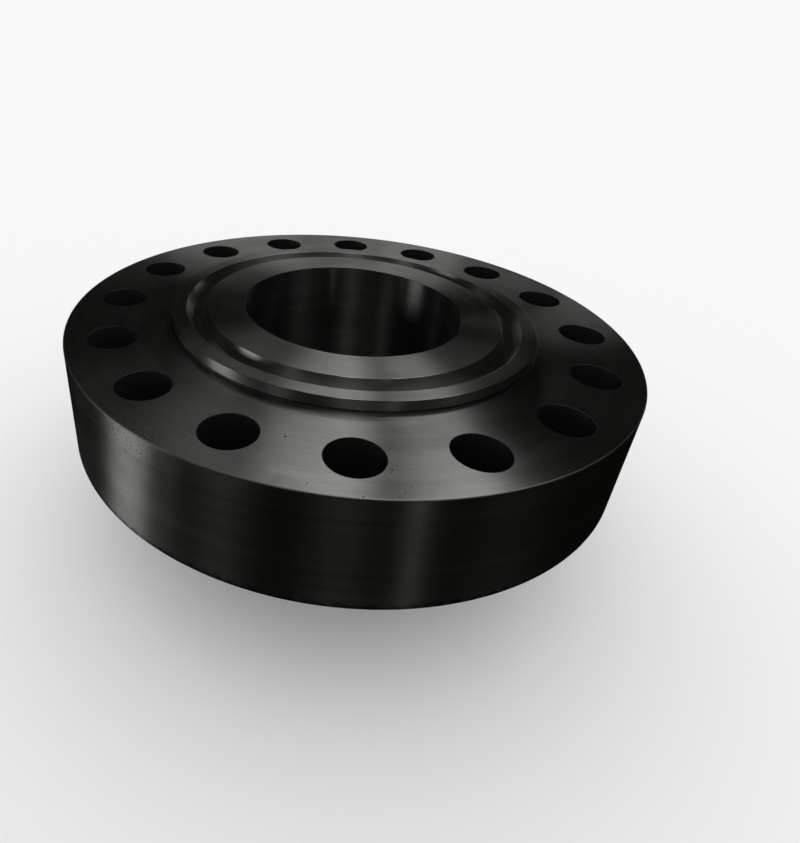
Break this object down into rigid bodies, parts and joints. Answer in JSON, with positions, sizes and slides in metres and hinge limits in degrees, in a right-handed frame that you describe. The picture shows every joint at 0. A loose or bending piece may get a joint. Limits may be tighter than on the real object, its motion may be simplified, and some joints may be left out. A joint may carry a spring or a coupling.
{
  "type": "weld neck flange",
  "caption": "Heavy weld neck pipe flange for high pressure: thick drilled ring, raised ring-joint face with a gasket groove, tapered hub and bevelled weld end, in dark machined steel.",
  "frame": {"origin": "centre of the weld end, at the level of its root face, which is the lowest point as the flange stands", "axes": "+Z along the pipe axis towards the ring-joint face; the stud holes straddle the X and Y axes"},
  "size_m": [0.673, 0.673, 0.2967],
  "materials": {
    "machined_steel": "turned, lightly oiled, dark"
  },
  "bodies": {
    "root": {"flange_forging": "machined_steel"}
  },
  "joints": []
}
